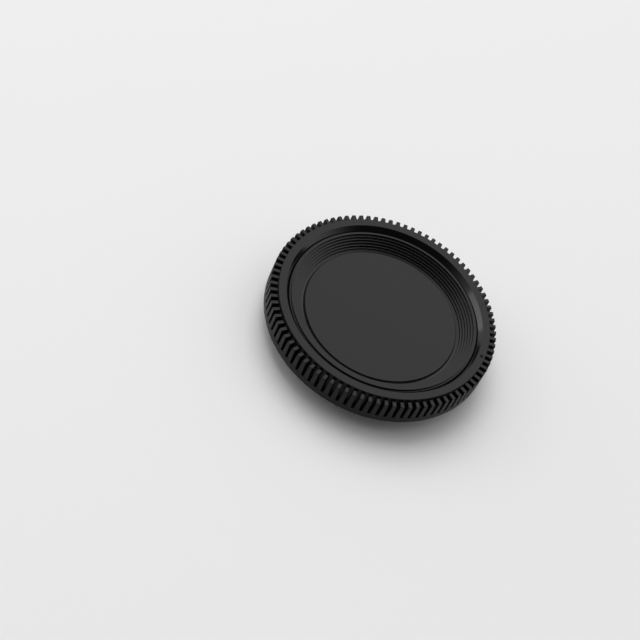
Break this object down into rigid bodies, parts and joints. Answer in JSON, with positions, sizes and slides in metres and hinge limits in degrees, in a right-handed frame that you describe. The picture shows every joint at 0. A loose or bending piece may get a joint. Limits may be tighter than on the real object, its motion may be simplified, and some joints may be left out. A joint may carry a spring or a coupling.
{
  "type": "camera body cap",
  "caption": "Black plastic body cap that closes a camera's lens mount, with a toothed grip rim, a stepped dish on its face and a bayonet collar with lugs behind.",
  "frame": {"origin": "on the cap's axis, in the plane of the collar's end face that it stands on", "axes": "+Z along the cap's axis, from the bayonet collar towards the front face"},
  "size_m": [0.06, 0.06, 0.0119],
  "materials": {
    "black_plastic": "satin black moulding on the front, glossier behind"
  },
  "bodies": {
    "root": {"body_cap": "black_plastic"}
  },
  "joints": []
}
